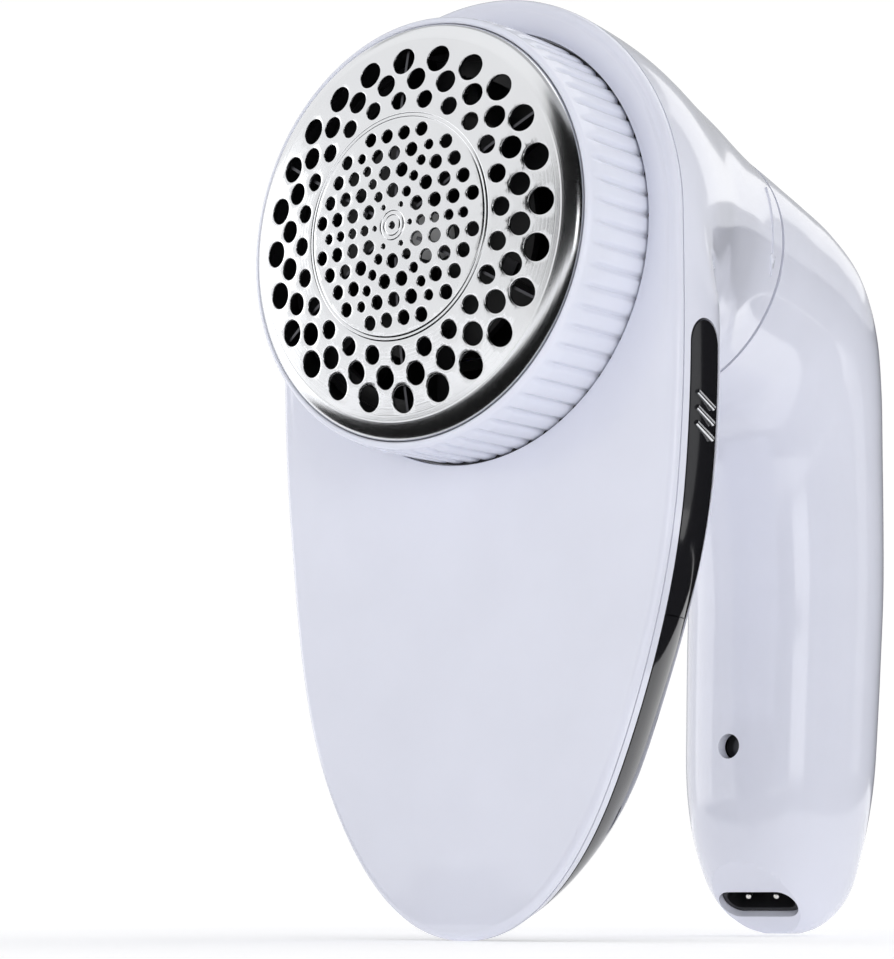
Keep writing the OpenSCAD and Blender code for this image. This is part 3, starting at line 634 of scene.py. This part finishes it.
# ---------------------------------------------------------------------------
# Materials
# ---------------------------------------------------------------------------
def material(name, color, rough, metal=0.0, coat=0.0, grain=900.0, bump=0.02, spread=0.06,
             wear=0.0, blotch=45.0, brushed=None, ior=1.5, sss=0.0):
    """Principled material whose gloss varies over the surface, with a fine surface texture."""
    mat = bpy.data.materials.new(name)
    mat.use_nodes = True
    nodes, links = mat.node_tree.nodes, mat.node_tree.links
    bsdf = next(n for n in nodes if n.type == "BSDF_PRINCIPLED")
    bsdf.inputs["Metallic"].default_value = metal
    bsdf.inputs["IOR"].default_value = ior
    bsdf.inputs["Coat Weight"].default_value = coat
    bsdf.inputs["Coat Roughness"].default_value = 0.04
    if sss:
        bsdf.inputs["Subsurface Weight"].default_value = sss
        bsdf.inputs["Subsurface Radius"].default_value = (1.0, 0.9, 0.85)
        bsdf.inputs["Subsurface Scale"].default_value = 0.0012
    coord = nodes.new("ShaderNodeTexCoord")

    def noise(scale, detail=3.0, vector=None):
        n = nodes.new("ShaderNodeTexNoise")
        n.inputs["Scale"].default_value = scale
        n.inputs["Detail"].default_value = detail
        links.new(vector or coord.outputs["Object"], n.inputs["Vector"])
        return n.outputs["Fac"]

    def spans(fac, low, high):
        m = nodes.new("ShaderNodeMapRange")
        m.inputs["To Min"].default_value = low
        m.inputs["To Max"].default_value = high
        links.new(fac, m.inputs["Value"])
        return m.outputs["Result"]

    vector = None
    if brushed is not None:
        # Fine lines round a centre: the distance from the axis drives the texture.
        shift = nodes.new("ShaderNodeVectorMath")
        shift.operation = "SUBTRACT"
        shift.inputs[1].default_value = brushed
        links.new(coord.outputs["Object"], shift.inputs[0])
        flat = nodes.new("ShaderNodeVectorMath")
        flat.operation = "MULTIPLY"
        flat.inputs[1].default_value = (1, 0, 1)
        links.new(shift.outputs[0], flat.inputs[0])
        length = nodes.new("ShaderNodeVectorMath")
        length.operation = "LENGTH"
        links.new(flat.outputs[0], length.inputs[0])
        join = nodes.new("ShaderNodeCombineXYZ")
        links.new(length.outputs["Value"], join.inputs[0])
        vector = join.outputs[0]
    fine = noise(grain, 2.0, vector)
    links.new(spans(noise(blotch, 4.0), rough - spread / 2, rough + spread / 2),
              bsdf.inputs["Roughness"])
    b = nodes.new("ShaderNodeBump")
    b.inputs["Strength"].default_value = bump
    b.inputs["Distance"].default_value = 0.0004
    links.new(fine, b.inputs["Height"])
    links.new(b.outputs["Normal"], bsdf.inputs["Normal"])
    ramp = nodes.new("ShaderNodeValToRGB")
    shade_low = tuple(c * (0.965 - wear) for c in color)
    ramp.color_ramp.elements[0].position = 0.3
    ramp.color_ramp.elements[0].color = (*shade_low, 1)
    ramp.color_ramp.elements[1].position = 0.7
    ramp.color_ramp.elements[1].color = (*color, 1)
    links.new(noise(blotch * 1.7, 5.0), ramp.inputs["Fac"])
    links.new(ramp.outputs["Color"], bsdf.inputs["Base Color"])
    return mat


foil_mid = (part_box("foil_guard")[0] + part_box("foil_guard")[1]) / 2
MATERIALS = {
    "white_shell": material("white_shell", (0.76, 0.775, 0.87), 0.11, coat=0.35, grain=2600,
                            bump=0.006, spread=0.05, sss=0.06),
    "collar_white": material("collar_white", (0.78, 0.80, 0.90), 0.20, coat=0.15, grain=2200,
                             bump=0.012, sss=0.15),
    "smoked_plastic": material("smoked_plastic", (0.012, 0.012, 0.014), 0.07, coat=0.4, grain=1800,
                               bump=0.004, spread=0.04),
    "trim_metal": material("trim_metal", (0.86, 0.87, 0.89), 0.16, metal=1.0, grain=5000,
                           bump=0.02),
    "soft_black": material("soft_black", (0.018, 0.018, 0.018), 0.72, grain=1500, bump=0.10),
    "black_plastic": material("black_plastic", (0.016, 0.016, 0.018), 0.34, grain=2400, bump=0.05),
    "foil_steel": material("foil_steel", (0.82, 0.83, 0.85), 0.20, metal=1.0, grain=3200, bump=0.05,
                           spread=0.06, brushed=tuple(foil_mid)),
    # Blades: steel darkened far below its own tone. This is painted shade for the dark inside of
    # the head, seen through the foil holes.
    "blade_steel": material("blade_steel", (0.10, 0.10, 0.11), 0.40, metal=1.0, grain=6000,
                            bump=0.04),
    "white_inner": material("white_inner", (0.78, 0.78, 0.79), 0.42, grain=2000, bump=0.03),
    "spring_steel": material("spring_steel", (0.50, 0.51, 0.53), 0.30, metal=1.0, grain=5000,
                             bump=0.04),
    "motor_steel": material("motor_steel", (0.62, 0.63, 0.65), 0.30, metal=1.0, grain=1600,
                            bump=0.05,
                            blotch=220, wear=0.1),
    "copper_winding": material("copper_winding", (0.62, 0.28, 0.12), 0.32, metal=1.0, grain=3000,
                               bump=0.25),
    "contact_brass": material("contact_brass", (0.78, 0.60, 0.26), 0.26, metal=1.0, grain=4000,
                              bump=0.04),
    "screw_steel": material("screw_steel", (0.48, 0.49, 0.52), 0.30, metal=1.0, grain=5000,
                            bump=0.05),
    "battery_wrap": material("battery_wrap", (0.06, 0.20, 0.42), 0.26, grain=1400, bump=0.05),
    "contact_nickel": material("contact_nickel", (0.70, 0.68, 0.64), 0.30, metal=1.0, grain=4000,
                               bump=0.05),
    "board_green": material("board_green", (0.02, 0.12, 0.05), 0.36, grain=3500, bump=0.06),
    "chip_black": material("chip_black", (0.014, 0.014, 0.015), 0.55, grain=3500, bump=0.08),
    "button_chrome": material("button_chrome", (0.86, 0.87, 0.89), 0.09, metal=1.0, grain=4000,
                              bump=0.008),
    # Lens: near-black colour, which is painted shade for the dark inside of the recess it sits in.
    "lens_clear": material("lens_clear", (0.05, 0.05, 0.055), 0.10, coat=0.6, grain=3000,
                           bump=0.004),
    "pin_metal": material("pin_metal", (0.86, 0.84, 0.78), 0.15, metal=1.0, grain=5000, bump=0.02),
}
SLOT_OF = {s["node"]: s["material_slot"] for s in frame["record"]["subparts"]}


def lens_dome():
    """Shallow glossy dome at the bottom of the small round recess in the grip."""
    low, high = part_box("status_lens")
    radius, back = (high.x - low.x) / 2 / MM, high.y / MM + SHIFT_Y
    foot, rise = 0.35, 0.75
    profile = [(radius, back)] + [(radius * math.cos(t), back - foot - rise * math.sin(t))
                                  for t in np.linspace(0, math.pi / 2, 14)[:-1]]
    a = np.linspace(0, 2 * math.pi, 72, endpoint=False)
    rows = [np.stack([r * np.cos(a), np.full(len(a), y), LENS_Z + r * np.sin(a)], axis=1)
            for r, y in profile]
    return skin("grip_lens", rows)


def turn_arrow():
    """Raised curved arrow on the neck, beside the swivel seam."""
    neck = neck_rows()

    def at(turn, along, lift):
        """Point on the neck: degrees round it, distance from the seam, height over the surface."""
        y = SEAM[0] + along
        z, r, tilt = (np.interp(y, neck[:, 0], neck[:, k]) for k in (1, 2, 3))
        a, tilt, r = math.radians(turn), math.radians(tilt), r + lift
        up = r * math.sin(a)
        return r * math.cos(a), y + up * math.sin(tilt), z + up * math.cos(tilt)

    tip, tail, head, bow = -12.0, 28.0, 8.0, 0.9
    section = ((-1, -0.3), (1, -0.3), (1, 0.12), (0.75, 0.24), (-0.75, 0.24), (-1, 0.12))
    rows = []
    for turn in np.linspace(tail, tip, 46):
        half = np.interp(turn, [tip, tip + head, tip + head + 0.8, tail - 3, tail],
                         [0.05, 0.95, 0.3, 0.3, 0.1])
        mid = -2.6 - bow * math.sin(math.pi * (turn - tip) / (tail - tip))
        rows.append([at(turn, mid + side * half, lift) for side, lift in section])
    return skin("turn_arrow", rows)


def bring_forward(obj):
    """Gives a body piece the lean of its lower end."""
    for v in obj.data.vertices:
        v.co.y -= float(lean(v.co.z / MM)) * MM


def dress(obj, slot):
    obj.data.materials.clear()
    obj.data.materials.append(MATERIALS[slot])


# ---------------------------------------------------------------------------
# Assembly
# ---------------------------------------------------------------------------
def piece(obj, body, node, first=True):
    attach(obj, body)
    if first:
        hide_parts(node)
    dress(obj, SLOT_OF[node])


for node, obj in frame["nodes"].items():
    dress(obj, SLOT_OF[node])
    obj.data.polygons.foreach_set("use_smooth", [True] * len(obj.data.polygons))

panel = shade(front_panel(), 40)
rear, trims, tray = housings()
shell, cover = handles()
ring = shade(collar_ring(), 42)
plate, edge = foil_plate(), foil_edge()
for obj in (panel, rear, trims, tray):
    bring_forward(obj)
for obj in (rear, trims, tray, shell, cover):
    shade(obj, 34)
piece(panel, "housing", "front_shell")
piece(rear, "housing", "rear_shell")
piece(trims, "housing", "side_trims")
piece(tray, "bin", "lint_bin")
piece(shell, "handle", "handle_shell")
piece(cover, "handle", "handle_cover")
piece(shade(lens_dome(), 60), "handle", "status_lens")
piece(shade(turn_arrow(), 40), "housing", "rear_shell", first=False)
piece(ring, "guard", "collar")
piece(plate, "guard", "foil_guard")
piece(edge, "guard", "foil_guard", first=False)

# ---------------------------------------------------------------------------
# Studio
# ---------------------------------------------------------------------------
def glow(name, strength):
    """Material that only shines."""
    mat = bpy.data.materials.new(name)
    mat.use_nodes = True
    bsdf = next(n for n in mat.node_tree.nodes if n.type == "BSDF_PRINCIPLED")
    bsdf.inputs["Base Color"].default_value = (0, 0, 0, 1)
    bsdf.inputs["Specular IOR Level"].default_value = 0
    bsdf.inputs["Emission Color"].default_value = (1, 1, 1, 1)
    bsdf.inputs["Emission Strength"].default_value = strength
    return mat


def polar(azimuth, elevation, distance):
    """Point round the middle of the shaver; azimuth from +X, in degrees."""
    a, e = math.radians(azimuth), math.radians(elevation)
    return middle + distance * Vector((math.cos(a) * math.cos(e), math.sin(a) * math.cos(e),
                                       math.sin(e)))


def card(name, spot, size, mat, rounded=False, diffuse=True, glossy=True):
    """Studio card that faces the shaver, with square or round ends; the camera never sees it."""
    w, h = size[0] / 2, size[1] / 2
    if rounded:
        end = 0.05 * w
        arc = [(w * math.cos(t), h - end + end * math.sin(t)) for t in np.linspace(0, math.pi, 24)]
        loop = arc + [(-x, -y) for x, y in arc]
    else:
        loop = [(-w, -h), (w, -h), (w, h), (-w, h)]
    obj = new_object(name, [(x, y, 0) for x, y in loop], [tuple(range(len(loop)))])
    obj.location = spot
    obj.rotation_euler = (middle - Vector(spot)).to_track_quat("Z", "Y").to_euler()
    obj.data.materials.append(mat)
    obj.visible_camera = obj.visible_shadow = False
    obj.visible_diffuse, obj.visible_glossy = diffuse, glossy


def mirrored(obj, mat):
    """Makes the object one that only reflections show."""
    obj.data.materials.append(mat)
    obj.visible_camera = obj.visible_shadow = obj.visible_diffuse = False


def bent(name, start, end, radius, low, high, mat):
    """Upright card bent round the shaver, seen by reflections only."""
    n = 24
    arc = [(radius * math.cos(math.radians(t)), radius * math.sin(math.radians(t)))
           for t in np.linspace(start, end, n)]
    pts = [(x, y, z) for z in (low, high) for x, y in arc]
    mirrored(new_object(name, pts, [(k, k + 1, k + n + 1, k + n) for k in range(n - 1)]), mat)


def softbox(name, spot, size, watts):
    """Area light at the shaver that no reflection shows."""
    data = bpy.data.lights.new(name, "AREA")
    data.shape = "RECTANGLE"
    data.size, data.size_y = size
    data.energy = watts
    obj = bpy.data.objects.new(name, data)
    obj.location = spot
    obj.rotation_euler = (middle - Vector(spot)).to_track_quat("-Z", "Y").to_euler()
    obj.visible_glossy = False
    bpy.context.scene.collection.objects.link(obj)


middle = Vector((0, 0, 0.065))
floor = new_object("floor", [(-6, -6, 0), (6, -6, 0), (6, 6, 0), (-6, 6, 0)], [(0, 1, 2, 3)])
floor_mat = material("floor_pale", (0.86, 0.86, 0.87), 0.35, grain=300, bump=0.002, ior=1.25)
floor_bsdf = next(n for n in floor_mat.node_tree.nodes if n.type == "BSDF_PRINCIPLED")
floor_bsdf.inputs["Specular IOR Level"].default_value = 0.0
floor_bsdf.inputs["Emission Color"].default_value = (1, 1, 1, 1)
# The glow of the floor rises away from the shaver, so it meets the surround without a line.
floor_tree = floor_mat.node_tree
spot = floor_tree.nodes.new("ShaderNodeTexCoord")
away = floor_tree.nodes.new("ShaderNodeVectorMath")
rise = floor_tree.nodes.new("ShaderNodeMapRange")
away.operation = "LENGTH"
for key, value in (("From Min", 0.12), ("From Max", 0.75), ("To Min", 0.36), ("To Max", 0.66)):
    rise.inputs[key].default_value = value
floor_tree.links.new(spot.outputs["Object"], away.inputs[0])
floor_tree.links.new(away.outputs["Value"], rise.inputs["Value"])
floor_tree.links.new(rise.outputs["Result"], floor_bsdf.inputs["Emission Strength"])
floor.data.materials.append(floor_mat)

# White surround, seen by the camera only, so the lights alone shape the shaver.
reach, turns, ups = 5.9, 48, 12
dome_pts = [(reach * math.cos(t) * math.cos(e), reach * math.sin(t) * math.cos(e),
             reach * math.sin(e)) for e in np.linspace(-0.2, 1.5, ups)
            for t in np.linspace(0, 2 * math.pi, turns, endpoint=False)]
dome_faces = [(k * turns + j, k * turns + (j + 1) % turns, (k + 1) * turns + (j + 1) % turns,
               (k + 1) * turns + j) for k in range(ups - 1) for j in range(turns)]
dome_faces.append(tuple((ups - 1) * turns + j for j in range(turns)))
surround = new_object("surround", dome_pts, dome_faces)
surround.data.materials.append(glow("surround_white", 1.02))
surround.visible_diffuse = surround.visible_glossy = surround.visible_shadow = False
surround.visible_transmission = False

world = bpy.data.worlds.new("studio")
bpy.context.scene.world = world
world.use_nodes = True
world.node_tree.nodes["Background"].inputs["Color"].default_value = (0.97, 0.98, 1.0, 1)
world.node_tree.nodes["Background"].inputs["Strength"].default_value = 0.48

# Cards that light the shaver, and cards that only its reflections show.
card("key", polar(-130, 14, 1.0), (1.25, 1.0), glow("key_light", 0.93))
card("left", polar(-168, 8, 1.0), (0.62, 0.6), glow("left_light", 2.0))
card("right", polar(30, 14, 1.0), (0.9, 0.6), glow("right_light", 0.18), glossy=False)
card("top", polar(60, 62, 1.0), (1.0, 0.8), glow("top_light", 1.5))
card("crest", polar(97, 27, 1.0), (0.32, 0.30), glow("crest_light", 1.15), diffuse=False)
card("sky", polar(-125, 56, 1.1), (1.3, 0.9), glow("sky_light", 1.0), diffuse=False)
bent("left_wall", 142, 200, 1.15, 0.0, 1.2, glow("wall_light", 0.95))
card("pill", polar(-36, 4.4, 0.95), (0.30, 0.215), glow("pill_light", 2.0), rounded=True)
softbox("front_fill", polar(-28, 5, 1.0), (0.6, 0.5), 2.8)
# Black cards: they draw the dark shoulder of the foil and the dark side inlays.
black = glow("black_card", 0.0)
bent("flag_right", -99, 38, 1.1, 0.0, 1.2, black)
bent("flag_back", 54, 112, 1.1, 0.0, 0.36, black)
for name, (x0, x1, y0, y1) in (("flag_low", (-0.36, 0.90, -0.34, -0.05)),
                               ("flag_far", (0.10, 0.9, -0.05, 0.9))):
    corners = [(x, y, 0.002) for x, y in ((x0, y0), (x1, y0), (x1, y1), (x0, y1))]
    mirrored(new_object(name, corners, [(0, 1, 2, 3)]), black)

camera = bpy.data.cameras.new("view")
camera.lens = 102.463
camera.sensor_width = 36
cam = bpy.data.objects.new("view", camera)
cam.location = (0.23877, -0.335395, 0.00527)
cam.rotation_euler = (math.radians(98.8), 0, math.radians(39.491))
bpy.context.scene.collection.objects.link(cam)
bpy.context.scene.camera = cam
bpy.context.scene.view_settings.view_transform = "Standard"
